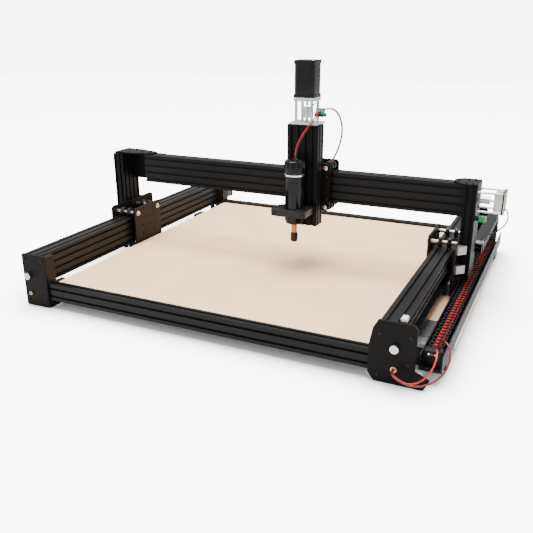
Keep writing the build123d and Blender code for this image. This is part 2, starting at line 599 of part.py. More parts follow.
# spindle clamp: a thick plate around the spindle, bolted to the Z beam's front face
CLAMP_BASE = FLOOR + 219.0
CLAMP_TOP = FLOOR + 237.0
CLAMP_LEFT = -55.0
CLAMP_RIGHT = 43.0
with BuildPart() as spindle_clamp:
    with BuildSketch(Plane(origin=(SPINDLE_X, 0, CLAMP_BASE))):
        with BuildLine():
            near = SPINDLE_Y - SPINDLE_RADIUS - 9
            Polyline((CLAMP_LEFT, near), (CLAMP_RIGHT, near), (CLAMP_RIGHT, ZBEAM_FRONT),
                     (CLAMP_LEFT + 19, ZBEAM_FRONT), (CLAMP_LEFT, ZBEAM_FRONT - 24), close=True)
        make_face()
        with Locations((0, SPINDLE_Y)):
            Circle(SPINDLE_RADIUS, mode=Mode.SUBTRACT)
    extrude(amount=CLAMP_TOP - CLAMP_BASE)
save(spindle_clamp.part, "spindle_clamp")

# spindle: body, bright ring and cap in one housing, turned about the vertical axis
SPINDLE_STEPS = ((197, 204, 23.5), (204, 326, 26.0), (326, 331, 27.5), (331, 366, 28.0), (366, 369, 25.0))
with BuildPart() as spindle_body:
    for low, high, radius in SPINDLE_STEPS:
        rod((SPINDLE_X, SPINDLE_Y, FLOOR + low), (SPINDLE_X, SPINDLE_Y, FLOOR + high), radius)
    rod((SPINDLE_X, SPINDLE_Y, SPINDLE_LOW), (SPINDLE_X, SPINDLE_Y, SPINDLE_LOW + 40), 7.5 + RUNNING_GAP,
        mode=Mode.SUBTRACT)
save(spindle_body.part, "spindle_body")

# spindle shaft with its collet nut, bored for a cutter
COLLET_BORE = 3.0
with BuildPart() as spindle_shaft:
    rod((SPINDLE_X, SPINDLE_Y, FLOOR + 167), (SPINDLE_X, SPINDLE_Y, SPINDLE_LOW + 38), 7.5)
    rod((SPINDLE_X, SPINDLE_Y, FLOOR + 143), (SPINDLE_X, SPINDLE_Y, FLOOR + 168), 10.5)
    rod((SPINDLE_X, SPINDLE_Y, FLOOR + 142), (SPINDLE_X, SPINDLE_Y, FLOOR + 165), COLLET_BORE,
        mode=Mode.SUBTRACT)
save(spindle_shaft.part, "spindle_shaft")

# ======================= cable chain =======================
with BuildPart() as chain_lower:
    block((CHAIN_X - CHAIN_WIDTH / 2, CHAIN_FRONT, CHAIN_LOW),
          (CHAIN_X + CHAIN_WIDTH / 2, CHAIN_BEND_Y - 0.4, CHAIN_LOW + CHAIN_HEIGHT))
save(chain_lower.part, "chain_lower")

CHAIN_MIDDLE = CHAIN_LOW + CHAIN_HEIGHT / 2 + CHAIN_BEND_RADIUS
with BuildPart() as chain_bend:
    with BuildSketch(plane_x(CHAIN_X - CHAIN_WIDTH / 2, CHAIN_BEND_Y, CHAIN_MIDDLE)):
        Circle(CHAIN_BEND_RADIUS + CHAIN_HEIGHT / 2)
        Circle(CHAIN_BEND_RADIUS - CHAIN_HEIGHT / 2, mode=Mode.SUBTRACT)
        with Locations((-100, 0)):
            Rectangle(200, 200, mode=Mode.SUBTRACT)
    extrude(amount=CHAIN_WIDTH)
save(chain_bend.part, "chain_bend")

with BuildPart() as chain_upper:
    block((CHAIN_X - CHAIN_WIDTH / 2, CHAIN_ANCHOR_Y, CHAIN_HIGH),
          (CHAIN_X + CHAIN_WIDTH / 2, CHAIN_BEND_Y - 0.4, CHAIN_HIGH + CHAIN_HEIGHT))
save(chain_upper.part, "chain_upper")

# ======================= leads =======================
LEAD_RADIUS = 1.3


def lead_points(points):
    """Move points measured from the front plates' front face and the floor into this frame."""
    return [(x, FRONT + y, FLOOR + z) for x, y, z in points]


# two leads loop from the front right plate's hole round to the chain's fixed end
with BuildPart() as front_leads:
    tube(lead_points([(489, 5, 33), (489, -13, 33), (503, -25, 29), (527, -27, 22), (551, -19, 31),
                      (567, -5, 52), (571, 17, 71), (566, 41, 80), (560, 64, 65)]), LEAD_RADIUS)
    tube(lead_points([(487, 5, 37), (487, -18, 37), (502, -35, 34), (529, -39, 27), (557, -33, 29),
                      (582, -19, 42), (597, -3, 64), (598, 14, 88), (586, 31, 103), (570, 48, 97),
                      (565, 64, 70)]), LEAD_RADIUS)
save(front_leads.part, "front_leads")

# the X motor's lead drops from the motor to the moving end of the chain
with BuildPart() as x_motor_lead:
    tube(lead_points([(624, 528, 258), (632, 530, 240), (626, 538, 216), (610, 550, 195), (592, 563, 180),
                      (575, 577, 168), (562, 592, 148)]), LEAD_RADIUS)
save(x_motor_lead.part, "x_motor_lead")

# the spindle's pair rises from the cap to the Z motor's standoffs
with BuildPart() as spindle_leads:
    for offset in (-2.2, 2.2):
        tube(lead_points([(98 + offset, 401, 369.4), (98 + offset, 400, 388), (106 + offset, 403, 415),
                          (122 + offset, 409, 443), (141 + offset, 418, 472), (152 + offset, 431, 492)]),
             LEAD_RADIUS)
save(spindle_leads.part, "spindle_leads")

# a loop from the Z motor's standoffs over to the right edge of the X carriage
with BuildPart() as carriage_leads:
    for offset in (0, 3.4):
        tube(lead_points([(154, 434 + offset, 492), (173, 444 + offset, 499), (192, 451 + offset, 487),
                          (202, 455 + offset, 462), (203, 458 + offset, 434), (198, 460 + offset, 406),
                          (188, 462 + offset, 381), (177, 462 + offset, 357)]), LEAD_RADIUS)
save(carriage_leads.part, "carriage_leads")
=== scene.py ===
"""Gantry router: the looks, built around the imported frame. All sizes in metres."""
import json
import math

import bmesh
import bpy
from mathutils import Matrix, Vector


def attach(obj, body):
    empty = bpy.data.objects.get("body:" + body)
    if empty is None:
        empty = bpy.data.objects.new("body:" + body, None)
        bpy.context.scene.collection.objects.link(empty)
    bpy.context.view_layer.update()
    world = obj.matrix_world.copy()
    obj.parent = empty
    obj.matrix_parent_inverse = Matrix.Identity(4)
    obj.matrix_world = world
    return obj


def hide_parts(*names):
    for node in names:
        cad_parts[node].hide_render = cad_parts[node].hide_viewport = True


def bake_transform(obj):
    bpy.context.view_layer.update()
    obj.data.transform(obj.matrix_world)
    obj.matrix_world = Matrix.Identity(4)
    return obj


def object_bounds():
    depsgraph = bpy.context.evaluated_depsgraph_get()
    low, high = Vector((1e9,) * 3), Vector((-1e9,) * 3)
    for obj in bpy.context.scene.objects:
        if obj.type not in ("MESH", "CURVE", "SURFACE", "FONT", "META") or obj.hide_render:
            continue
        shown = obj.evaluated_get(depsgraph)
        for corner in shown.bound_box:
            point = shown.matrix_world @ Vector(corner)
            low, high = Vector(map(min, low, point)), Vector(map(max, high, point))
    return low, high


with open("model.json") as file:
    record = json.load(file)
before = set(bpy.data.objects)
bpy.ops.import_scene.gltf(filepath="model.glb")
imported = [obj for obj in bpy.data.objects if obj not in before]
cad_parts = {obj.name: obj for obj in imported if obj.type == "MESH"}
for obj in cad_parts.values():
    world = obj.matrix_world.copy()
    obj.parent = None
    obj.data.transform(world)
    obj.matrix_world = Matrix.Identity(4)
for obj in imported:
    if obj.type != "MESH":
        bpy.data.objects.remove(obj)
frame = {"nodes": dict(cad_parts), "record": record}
cad_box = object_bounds()
nodes = frame["nodes"]


# places on the machine, in millimetres as at() takes them
FRAME_LENGTH = 984
SIDES = (("left", -1), ("right", 1))
Y_DRIVE_X, Y_DRIVE_Z = 489, 84
X_DRIVE_Y, X_DRIVE_Z = 513, 280
Z_DRIVE_X, Z_DRIVE_Y = 105, 455
FIRST_AXLE_Y = {-1: 418, 1: 522}            # by side
AXLE_PITCH = 104
Y_WHEEL_HEIGHTS = {"top": 152.8, "low": 47.2}
X_WHEEL_HEIGHTS = {"top": 334.8, "low": 225.2}
X_WHEEL_PLACES = {"left": 55, "right": 155}
SPINDLE_X, SPINDLE_Y = 99, 391
CHAIN_X = 557
CHAIN_START, CHAIN_ANCHOR, CHAIN_BEND = 66, 567, 885    # along Y
CHAIN_LOW, CHAIN_HIGH = 58, 134                         # middle of each run
BEND_RADIUS = (CHAIN_HIGH - CHAIN_LOW) / 2
BRIGHT_BACKDROP = 7                                     # seen by the camera only


def at(x, y, z):
    """A place from millimetres: y from the front plates' front face, z from the floor."""
    return Vector((x / 1000, (y - 492) / 1000, (z - 60) / 1000))


# ---------------- camera ----------------
camera = bpy.data.objects.new("camera", bpy.data.cameras.new("camera"))
bpy.context.scene.collection.objects.link(camera)
camera.data.lens = 44.23
camera.data.sensor_width = 36
camera.location = (0.7651, -1.675, 0.640)
heading = Matrix.Rotation(math.radians(25.476), 4, "Z")
tilt = Matrix.Rotation(math.radians(69.723), 4, "X")
roll = Matrix.Rotation(math.radians(-0.239), 4, "Z")
camera.matrix_world = Matrix.Translation(camera.location) @ heading @ tilt @ roll
bpy.context.scene.camera = camera


# ---------------- materials ----------------
def material(name, color, rough, metal=0.0, stretch=(1, 1, 1), scale=60.0, vary=0.25, bump=0.1,
             edge=0.0004, rough_vary=0.12, coat=0.0, speckle=None, rings=None, spec=0.5):
    """A procedural surface: stretched noise in colour, roughness and bump, with softened edges."""
    made = bpy.data.materials.new(name)
    made.use_nodes = True
    tree = made.node_tree
    shader = tree.nodes["Principled BSDF"]
    shader.inputs["Metallic"].default_value = metal
    shader.inputs["Coat Weight"].default_value = coat
    shader.inputs["Coat Roughness"].default_value = 0.15
    shader.inputs["Specular IOR Level"].default_value = spec
    link = tree.links.new
    place = tree.nodes.new("ShaderNodeTexCoord")
    mapping = tree.nodes.new("ShaderNodeMapping")
    mapping.inputs["Scale"].default_value = stretch
    link(place.outputs["Object"], mapping.inputs["Vector"])
    noise = tree.nodes.new("ShaderNodeTexNoise")
    noise.inputs["Scale"].default_value = scale
    noise.inputs["Detail"].default_value = 6
    link(mapping.outputs["Vector"], noise.inputs["Vector"])
    ramp = tree.nodes.new("ShaderNodeValToRGB")
    ramp.color_ramp.elements[0].position = 0.3
    ramp.color_ramp.elements[1].position = 0.7
    ramp.color_ramp.elements[0].color = (*[c * (1 - vary) for c in color], 1)
    ramp.color_ramp.elements[1].color = (*[min(1, c * (1 + vary)) for c in color], 1)
    link(noise.outputs["Fac"], ramp.inputs["Fac"])
    shade = ramp.outputs["Color"]
    if speckle:
        spots = tree.nodes.new("ShaderNodeTexNoise")
        spots.inputs["Scale"].default_value = 900
        spots.inputs["Detail"].default_value = 3
        link(place.outputs["Object"], spots.inputs["Vector"])
        pick = tree.nodes.new("ShaderNodeValToRGB")
        pick.color_ramp.elements[0].position = 0.56
        pick.color_ramp.elements[1].position = 0.74
        link(spots.outputs["Fac"], pick.inputs["Fac"])
        mix = tree.nodes.new("ShaderNodeMix")
        mix.data_type = "RGBA"
        link(pick.outputs["Color"], mix.inputs["Factor"])
        link(shade, mix.inputs["A"])
        mix.inputs["B"].default_value = (*speckle, 1)
        shade = mix.outputs["Result"]
    link(shade, shader.inputs["Base Color"])
    spread = tree.nodes.new("ShaderNodeMapRange")
    spread.inputs["To Min"].default_value = max(0.04, rough - rough_vary)
    spread.inputs["To Max"].default_value = min(1, rough + rough_vary)
    link(noise.outputs["Fac"], spread.inputs["Value"])
    link(spread.outputs["Result"], shader.inputs["Roughness"])
    soft = tree.nodes.new("ShaderNodeBevel")
    soft.samples = 4
    soft.inputs["Radius"].default_value = edge
    relief = tree.nodes.new("ShaderNodeBump")
    relief.inputs["Strength"].default_value = bump
    relief.inputs["Distance"].default_value = 0.0004
    link(noise.outputs["Fac"], relief.inputs["Height"])
    link(soft.outputs["Normal"], relief.inputs["Normal"])
    out = relief.outputs["Normal"]
    if rings:
        wave = tree.nodes.new("ShaderNodeTexWave")
        wave.bands_direction = rings
        wave.inputs["Scale"].default_value = 157
        link(place.outputs["Object"], wave.inputs["Vector"])
        thread = tree.nodes.new("ShaderNodeBump")
        thread.inputs["Strength"].default_value = 0.9
        thread.inputs["Distance"].default_value = 0.001
        link(wave.outputs["Fac"], thread.inputs["Height"])
        link(out, thread.inputs["Normal"])
        out = thread.outputs["Normal"]
    link(out, shader.inputs["Normal"])
    return made


BLACK = (0.0060, 0.0060, 0.0063)
anodised = {
    "x": material("anodised_x", BLACK, 0.40, 0.1, (0.03, 1, 1), 500, 0.2, 0.12, spec=0.15),
    "y": material("anodised_y", BLACK, 0.40, 0.1, (1, 0.03, 1), 500, 0.2, 0.12, spec=0.15),
    "z": material("anodised_z", BLACK, 0.40, 0.1, (1, 1, 0.03), 500, 0.2, 0.12, spec=0.08),
}
fibre = material("fibreboard", (0.90, 0.60, 0.36), 0.62, 0, (1, 1, 1), 7, 0.05, 0.05, 0.0008, 0.06,
                 speckle=(0.76, 0.48, 0.27))
plate_dark = material("dark_plate", (0.0055, 0.0045, 0.0040), 0.45, 0, (1, 1, 1), 240, 0.25, 0.12,
                      0.0005, spec=0.08)
plate_brown = material("brown_plate", (0.0105, 0.0068, 0.0048), 0.45, 0, (1, 1, 1), 200, 0.3, 0.12,
                       0.0005, spec=0.1)
aluminium = material("bare_aluminium", (0.70, 0.71, 0.72), 0.30, 1, (1, 1, 0.05), 700, 0.08, 0.1)
steel = material("bright_steel", (0.62, 0.61, 0.60), 0.26, 1, (1, 1, 1), 300, 0.1, 0.06)
chrome = material("polished_ring", (0.80, 0.80, 0.80), 0.12, 1, (1, 1, 1), 200, 0.05, 0.02, 0.0003, 0.04)
shaft_bronze = material("shaft_bronze", (0.30, 0.18, 0.08), 0.30, 1, (1, 1, 1), 260, 0.15, 0.05, 0.0003)
gold = material("pale_gold", (0.75, 0.63, 0.38), 0.28, 1, (1, 1, 1), 260, 0.12, 0.05, 0.0003)
brass = material("brass", (0.62, 0.42, 0.17), 0.28, 1, (1, 1, 1), 260, 0.15, 0.05, 0.0003)
bronze = material("dark_bronze", (0.035, 0.025, 0.018), 0.32, 0.9, (1, 1, 1), 260, 0.2, 0.05, 0.0003)
oxide = material("black_oxide", (0.010, 0.010, 0.011), 0.36, 0.2, (1, 1, 1), 300, 0.2, 0.08, 0.0003, spec=0.3)
plastic = material("black_plastic", (0.0065, 0.0065, 0.007), 0.48, 0, (1, 1, 1), 500, 0.2, 0.15, spec=0.2)
wheel_black = material("wheel_polymer", (0.008, 0.008, 0.009), 0.34, 0, (1, 1, 1), 300, 0.2, 0.05, spec=0.3)
motor_black = material("motor_paint", (0.0055, 0.0055, 0.0062), 0.28, 0, (1, 1, 0.2), 300, 0.2,
                       0.05, spec=0.2)
glossy = material("glossy_black", (0.004, 0.004, 0.0045), 0.10, 0, (1, 1, 1), 120, 0.2, 0.01,
                  0.0004, 0.03, spec=0.2)
warm_silver = material("warm_silver", (0.66, 0.61, 0.53), 0.34, 1, (0.1, 1, 1), 500, 0.08, 0.08)
cast_silver = material("cast_silver", (0.34, 0.33, 0.31), 0.48, 1, (1, 1, 1), 260, 0.15, 0.2)
ivory = material("ivory_plastic", (0.72, 0.64, 0.50), 0.45, 0, (1, 1, 1), 150, 0.05, 0.05, 0.0004)
maroon = material("maroon_insulation", (0.16, 0.008, 0.010), 0.32, 0, (1, 1, 1), 90, 0.12, 0.02, 0.0002)
red = material("red_insulation", (0.55, 0.012, 0.010), 0.32, 0, (1, 1, 1), 90, 0.12, 0.02, 0.0002)
teal = material("teal_insulation", (0.01, 0.30, 0.25), 0.32, 0, (1, 1, 1), 90, 0.12, 0.02, 0.0002)
dark_lead = material("black_insulation", (0.012, 0.012, 0.012), 0.35, 0, (1, 1, 1), 90, 0.15, 0.02, 0.0002)
green = material("green_terminal", (0.02, 0.30, 0.09), 0.42, 0, (1, 1, 1), 150, 0.12, 0.05, 0.0003)
white = material("white_plastic", (0.75, 0.75, 0.72), 0.45, 0, (1, 1, 1), 150, 0.05, 0.05, 0.0004)

LOOKS = {
    "black_extrusion": anodised["y"], "board_fibre": fibre, "brown_plate": plate_dark,
    "bare_aluminium": aluminium, "black_plastic": plastic, "wheel_black": wheel_black,
    "steel_bright": steel, "brass_bright": brass, "dark_steel": oxide, "lead_red": red,
}
SLOT_OF = {row["node"]: row["material_slot"] for row in frame["record"]["subparts"]}
SPECIAL = {
    "upright_brackets": cast_silver, "y_spacers": warm_silver,
    "front_beam": anodised["x"], "rear_beam": anodised["x"], "x_beam": anodised["x"],
    "cross_members": anodised["x"], "uprights": anodised["z"], "z_beam": anodised["z"],
    "y_inner_plates": plate_brown, "y_outer_plates": plate_brown, "corner_blocks": plate_brown,
    "spindle_clamp": oxide,
}
for name, node in nodes.items():
    look = SPECIAL.get(name, LOOKS[SLOT_OF[name]])
    node.data.materials.clear()
    node.data.materials.append(look)


# ---------------- mesh tools ----------------
class Shape:
    """Collects closed solids, each with its own surface, into one mesh piece."""

    def __init__(self):
        self.mesh = bmesh.new()
        self.looks = []

    def paint(self, faces, look):
        if look not in self.looks:
            self.looks.append(look)
        for face in faces:
            face.material_index = self.looks.index(look)

    def block(self, centre, size, look, bevel=0.0006, turn=None):
        """A box of that size in metres, with rounded edges."""
        place = Matrix.Translation(centre) @ (turn or Matrix.Identity(4)) @ Matrix.Diagonal((*size, 1))
        verts = bmesh.ops.create_cube(self.mesh, size=1, matrix=place)["verts"]
        self.paint({face for vert in verts for face in vert.link_faces}, look)
        if bevel:
            edges = list({edge for vert in verts for edge in vert.link_edges})
            bmesh.ops.bevel(self.mesh, geom=edges, offset=bevel, segments=2, profile=0.7, affect="EDGES")

    def span(self, low, high, look, bevel=0.0006):
        """A box between two corners given in millimetres."""
        low, high = at(*low), at(*high)
        self.block((low + high) / 2, high - low, look, bevel)

    def turned(self, start, axis, rings, look, segments=32):
        """A turned solid: rings of (height, radius[, flats]) in millimetres along axis."""
        axis = Vector(axis).normalized()
        side = Vector((0, 0, 1)) if abs(axis.z) < 0.9 else Vector((1, 0, 0))
        across = (side - axis * side.dot(axis)).normalized()
        other = axis.cross(across)
        loops = []
        for ring in rings:
            loop = []
            for step in range(segments):
                angle = 2 * math.pi * step / segments
                reach = ring[1] / 1000
                if len(ring) > 2:
                    half = math.pi / ring[2]
                    reach *= math.cos(half) / math.cos(angle % (2 * half) - half)
                spot = across * (reach * math.cos(angle)) + other * (reach * math.sin(angle))
                loop.append(self.mesh.verts.new(start + axis * (ring[0] / 1000) + spot))
            loops.append(loop)
        faces = [self.mesh.faces.new(loops[0][::-1]), self.mesh.faces.new(loops[-1])]
        for low, high in zip(loops, loops[1:]):
            for step in range(segments):
                after = (step + 1) % segments
                faces.append(self.mesh.faces.new((low[step], low[after], high[after], high[step])))
        self.paint(faces, look)

    def prism(self, outline, shift, look, bevel=0.0):
        """A flat outline, given as places in the frame, pushed along shift."""
        low = [self.mesh.verts.new(spot) for spot in outline]
        high = [self.mesh.verts.new(Vector(spot) + Vector(shift)) for spot in outline]
        faces = [self.mesh.faces.new(low[::-1]), self.mesh.faces.new(high)]
        for step in range(len(outline)):
            after = (step + 1) % len(outline)
            faces.append(self.mesh.faces.new((low[step], low[after], high[after], high[step])))
        self.paint(faces, look)
        if bevel:
            edges = list({edge for face in faces for edge in face.edges})
            bmesh.ops.bevel(self.mesh, geom=edges, offset=bevel, segments=2, profile=0.7, affect="EDGES")

    def socket_head(self, centre, axis, radius, height, look):
        """A button head with a hexagon socket, standing on its seat."""
        self.turned(centre, axis, [
            (0, radius * 0.96), (height * 0.25, radius), (height * 0.6, radius * 0.95),
            (height * 0.9, radius * 0.78), (height, radius * 0.62), (height, radius * 0.52, 6),
            (height * 0.35, radius * 0.50, 6)], look, 36)

    def cap_head(self, centre, axis, radius, height, look):
        """A straight cylinder head with a hexagon socket."""
        self.turned(centre, axis, [
            (0, radius), (height * 0.85, radius), (height, radius * 0.9), (height, radius * 0.58, 6),
            (height * 0.4, radius * 0.56, 6)], look, 36)

    def piece(self, name, body, replaces=(), smooth=32):
        bmesh.ops.recalc_face_normals(self.mesh, faces=self.mesh.faces)
        data = bpy.data.meshes.new(name)
        self.mesh.to_mesh(data)
        self.mesh.free()
        for look in self.looks:
            data.materials.append(look)
        made = bpy.data.objects.new(name, data)
        bpy.context.scene.collection.objects.link(made)
        data.shade_smooth()
        data.set_sharp_from_angle(angle=math.radians(smooth))
        if body:
            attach(made, body)
        if replaces:
            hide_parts(*replaces)
        return made


def lead(name, routes, radius, looks, body, node=None):
    """Leads on their routes: each a smooth curve through its control points."""
    made = []
    for count, (points, look) in enumerate(zip(routes, looks)):
        curve = bpy.data.curves.new(f"{name}_{count}", "CURVE")
        curve.dimensions = "3D"
        curve.bevel_depth = radius
        curve.bevel_resolution = 5
        curve.resolution_u = 10
        curve.use_fill_caps = True
        spline = curve.splines.new("NURBS")
        spline.points.add(len(points) - 1)
        for knot, spot in zip(spline.points, points):
            knot.co = (*at(*spot), 1)
        spline.order_u = 3
        spline.use_endpoint_u = True
        strand = bpy.data.objects.new(f"{name}_{count}", curve)
        bpy.context.scene.collection.objects.link(strand)
        curve.materials.append(look)
        if body:
            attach(strand, body)
        made.append(strand)
    if node:
        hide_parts(node)
    return made


FORWARD, BACK, RIGHT, LEFT, UP, DOWN = (
    (0, -1, 0), (0, 1, 0), (1, 0, 0), (-1, 0, 0), (0, 0, 1), (0, 0, -1))

# ---------------- frame details ----------------
screws = Shape()
right_plate = ((456, 111), (520.5, 112), (518, 51), (455, 17), (541, 11))
left_plate = ((-499, 127), (-443, 130), (-499, 14), (-443, 14))
for x, z in right_plate + left_plate:
    screws.socket_head(at(x, 0, z), FORWARD, 3.6, 2.5, oxide)
    screws.socket_head(at(x, FRAME_LENGTH, z), BACK, 3.6, 2.5, oxide)
screws.piece("plate_screw_heads", "frame", ["frame_screws"])

# cable holes of the front plates: a brass sleeve on the left, a brass gland on the right
trim = Shape()
trim.turned(at(-488, 1, 35), FORWARD, [
    (0, 3.9), (1.2, 3.9), (1.2, 5.4, 6), (4.2, 5.4, 6), (4.4, 4.6), (6, 4.4), (6, 2.6), (1, 2.6)], brass, 36)
trim.turned(at(489, 1, 35), FORWARD, [
    (0, 3.9), (1.2, 3.9), (1.2, 7), (3, 7), (3.8, 6.2), (3.8, 3.4), (1, 3.4)], brass)
# end stop block on the right rail's front end
trim.span((494, 9, 140), (507, 31, 147), white, 0.001)
trim.piece("frame_trim", "frame")


def screw_thread(shape, start, axis, length, radius=4.0, pitch=2.0):
    """A trapezoidal thread drawn as rings along a rod."""
    rings = [(0, radius - 0.8)]
    turns = int(length / pitch) - 1
    for step in range(turns):
        low = 0.4 + step * pitch
        rings += [(low, radius - 0.7), (low + pitch * 0.25, radius), (low + pitch * 0.55, radius),
                  (low + pitch * 0.8, radius - 0.7)]
    rings.append((length, radius - 0.8))
    shape.turned(start, axis, rings, steel, 20)


def collar(shape, start, axis, length, radius, bore):
    """A clamp collar with a bright rim."""
    shape.turned(start, axis, [(0, bore), (0, radius - 0.6), (0.6, radius), (length - 0.6, radius),
                               (length, radius - 0.6), (length, bore), (length - 2, bore)], steel, 40)


def coupler(shape, start, axis, length, radius):
    """A helically cut coupling with two clamping grooves, drawn as a plain sleeve with five ring grooves
    round its middle.
    """
    rings = [(0, radius - 0.5), (0.5, radius), (length * 0.24, radius)]
    for step in range(5):
        place = length * (0.28 + 0.1 * step)
        rings += [(place, radius), (place + 0.2, radius - 1.4)]
        rings += [(place + 1.0, radius - 1.4), (place + 1.2, radius)]
    rings += [(length * 0.78, radius), (length - 0.5, radius), (length, radius - 0.5)]
    shape.turned(start, axis, rings, aluminium, 40)


for side, sign in SIDES:
    drive = Shape()
    x, z = sign * Y_DRIVE_X, Y_DRIVE_Z
    screw_thread(drive, at(x, -2, z), BACK, 990)
    collar(drive, at(x, -1, z), FORWARD, 8.6, 9.5, 3.9)
    drive.turned(at(x, -1, z), FORWARD, [(0, 3.6), (9.4, 3.6), (9.9, 3.2)], steel)
    drive.cap_head(at(x, -5, z + 8.8), UP, 1.8, 1.6, oxide)
    coupler(drive, at(x, FRAME_LENGTH + 1, z), BACK, 23, 9.5)
    drive.piece(f"drive_screw_{side}", f"screw_y_{side}", [f"y_screw_{side}"])

drive = Shape()
screw_thread(drive, at(-446, X_DRIVE_Y, X_DRIVE_Z), RIGHT, 1008)
coupler(drive, at(560, X_DRIVE_Y, X_DRIVE_Z), RIGHT, 24, 9.5)
drive.piece("drive_screw_x", "screw_x", ["x_screw"])
drive = Shape()
screw_thread(drive, at(Z_DRIVE_X, Z_DRIVE_Y, 191), UP, 280)
coupler(drive, at(Z_DRIVE_X, Z_DRIVE_Y, 469), UP, 28, 9.0)
drive.piece("drive_screw_z", "screw_z", ["z_screw"])


def motor(shape, face, axis, length):
    """A square stepper motor behind its mounting face: caps, stack, corner screws and a boss."""
    axis = Vector(axis)
    side = Vector((0, 0, 1)) if abs(axis.z) < 0.5 else Vector((1, 0, 0))
    across = axis.cross(side)

    def square(half, cut, depth):
        """A square with cut corners, that far behind the face."""
        short = half - cut
        spots = [spot for a in (-1, 1) for b in (-1, 1)
                 for spot in ((a * half, b * short), (a * short, b * half))]
        return [face + side * (u / 1000) + across * (v / 1000) + axis * (depth / 1000)
                for u, v in sorted(spots, key=lambda spot: math.atan2(spot[1], spot[0]))]

    front = min(8, length * 0.25)
    rear = min(10, length * 0.3)
    shape.prism(square(28.5, 3.4, 0), axis * (front / 1000), motor_black, 0.0006)
    shape.prism(square(27.8, 7.4, front), axis * ((length - front - rear) / 1000), motor_black, 0.0003)
    shape.prism(square(28.4, 3.8, length - rear), axis * (rear / 1000), motor_black, 0.0007)
    for a in (-1, 1):
        for b in (-1, 1):
            spot = face + side * (a * 0.0235) + across * (b * 0.0235) + axis * (length / 1000 - 0.0004)
            shape.socket_head(spot, axis, 2.6, 1.2, steel)
    shape.turned(face, -axis, [(-1, 19), (1.4, 19), (1.6, 18.6)], motor_black)


for side, sign in SIDES:
    body = Shape()
    motor(body, at(sign * Y_DRIVE_X, 1021, Y_DRIVE_Z), BACK, 56)
    body.turned(at(sign * Y_DRIVE_X, 1022, Y_DRIVE_Z), FORWARD, [(0, 3), (13, 3)], steel)
    body.piece(f"y_motor_{side}", "frame", ["y_motors"] if sign < 0 else ())

# the X motor: a small body with bright laminations, and an end plate on four posts
body = Shape()
body.block(at(604.5, X_DRIVE_Y, X_DRIVE_Z), (0.019, 0.044, 0.044), warm_silver, 0.0015)
for x in (598.5, 604.5, 610.5):
    body.block(at(x, X_DRIVE_Y, X_DRIVE_Z), (0.0008, 0.0446, 0.0446), aluminium, 0.0002)
body.block(at(617.5, X_DRIVE_Y, X_DRIVE_Z), (0.007, 0.056, 0.056), motor_black, 0.0016)
for dy in (-24.5, 24.5):
    for dz in (-24.5, 24.5):
        body.socket_head(at(620.8, X_DRIVE_Y + dy, X_DRIVE_Z + dz), RIGHT, 3.0, 1.6, steel)
body.turned(at(596, X_DRIVE_Y, X_DRIVE_Z), LEFT, [(0, 3), (11, 3)], steel)
body.piece("gantry_motor", "gantry", ["x_motor"])

body = Shape()
motor(body, at(Z_DRIVE_X, Z_DRIVE_Y, 522), UP, 93)
body.turned(at(Z_DRIVE_X, Z_DRIVE_Y, 523), DOWN, [(0, 3), (23, 3)], steel)
body.piece("lift_motor", "z_axis", ["z_motor"])


# ---------------- wheels and axles ----------------
def wheel_set(name, body, node, centres, axis):
    """Two wheels with a rim that runs in the slot and a bright bearing in each hub."""
    pair = Shape()
    for centre in centres:
        start = centre - Vector(axis) * 0.005
        pair.turned(start, axis, [
            (0.6, 6.2), (0, 6.8), (0, 11.6), (0.8, 12.5), (2.2, 12.5), (2.4, 13.6), (2.9, 14), (7.1, 14),
            (7.6, 13.6), (7.8, 12.5), (9.2, 12.5), (10, 11.6), (10, 6.8), (9.4, 6.2)], wheel_black, 48)
        pair.turned(start + Vector(axis) * 0.0002, axis, [
            (0, 2.6), (0, 5.9), (0.3, 6.2), (9.3, 6.2), (9.6, 5.9), (9.6, 2.6)], steel, 32)
    pair.piece(name, body, [node])


for side, sign in SIDES:
    for level, z in Y_WHEEL_HEIGHTS.items():
        for spot, y in (("front", FIRST_AXLE_Y[sign]), ("rear", FIRST_AXLE_Y[sign] + AXLE_PITCH)):
            node = f"y_wheels_{side}_{level}_{spot}"
            wheel_set(f"rollers_{side}_{level}_{spot}", f"roll_{node}", node,
                      [at(sign * 469, y, z), at(sign * 493, y, z)], RIGHT)
for side, x in X_WHEEL_PLACES.items():
    for level, z in X_WHEEL_HEIGHTS.items():
        node = f"x_wheels_{level}_{side}"
        wheel_set(f"carriage_rollers_{level}_{side}", f"roll_{node}", node,
                  [at(x, 497, z), at(x, 517, z)], BACK)

axles = Shape()
for side, sign in SIDES:
    inward, outward = (-sign, 0, 0), (sign, 0, 0)
    for y in (FIRST_AXLE_Y[sign], FIRST_AXLE_Y[sign] + AXLE_PITCH):
        for z in Y_WHEEL_HEIGHTS.values():
            axles.turned(at(sign * 524, y, z), inward, [(-3, 2.2), (-2.6, 2.5), (86, 2.5)], steel, 24)
            axles.turned(at(sign * 524, y, z), outward, [(-0.2, 4.4, 6), (3.6, 4.4, 6), (4, 4)], steel, 36)
            axles.turned(at(sign * 438, y, z), inward, [(0, 7.6), (0.9, 7.6), (1.1, 7.2)], steel, 36)
            axles.cap_head(at(sign * 437, y, z), inward, 4.8, 4.4, gold)
axles.piece("wheel_axles", "gantry", ["y_axles"])

